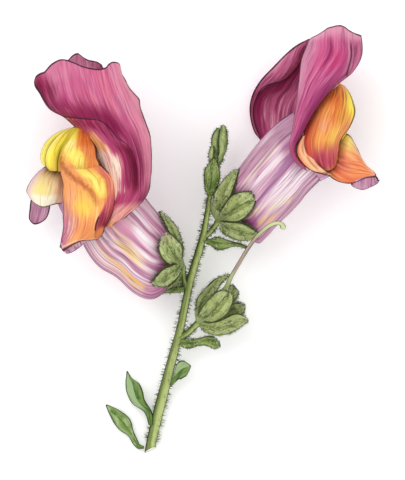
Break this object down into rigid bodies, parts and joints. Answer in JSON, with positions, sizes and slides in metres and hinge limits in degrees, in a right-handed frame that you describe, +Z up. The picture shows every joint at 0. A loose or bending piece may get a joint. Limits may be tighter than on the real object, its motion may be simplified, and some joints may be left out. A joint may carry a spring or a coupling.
{
  "type": "snapdragon stem",
  "caption": "Cut snapdragon stem lying on its side, with two lipped pink and orange blooms, green calyces, a spent flower with a long style, buds, bracts and small leaves.",
  "frame": {"origin": "centre of the outline seen from above, on the surface the stem lies on", "axes": "+Y from the cut end towards the buds, +Z up from the surface, +X towards the bloom that opens to the right"},
  "size_m": [0.0776, 0.0937, 0.028],
  "materials": {
    "stem_green": "satin",
    "leaf_green": "satin",
    "calyx_green": "matt",
    "tube_lilac": "satin",
    "lip_magenta": "satin",
    "lobe_orange": "satin",
    "palate_yellow": "satin",
    "pistil_green": "satin",
    "stamen_cream": "satin"
  },
  "bodies": {
    "root": {"stem": "stem_green", "bud_cluster": "stem_green", "bud_bract": "calyx_green", "left_calyx": "calyx_green", "right_calyx": "calyx_green", "spent_calyx": "calyx_green", "right_bract": "leaf_green", "left_bract": "leaf_green", "spent_bract": "leaf_green", "small_leaf": "leaf_green", "foot_leaf": "leaf_green", "loose_leaf": "leaf_green", "left_tube": "tube_lilac", "right_tube": "tube_lilac", "left_upper_lip": "lip_magenta", "right_upper_lip": "lip_magenta", "left_lower_lip": "lobe_orange", "right_lower_lip": "lobe_orange", "left_palate": "palate_yellow", "right_palate": "palate_yellow", "left_pistil": "pistil_green", "right_pistil": "pistil_green", "spent_pistil": "pistil_green", "left_stamens": "stamen_cream", "right_stamens": "stamen_cream"}
  },
  "joints": []
}
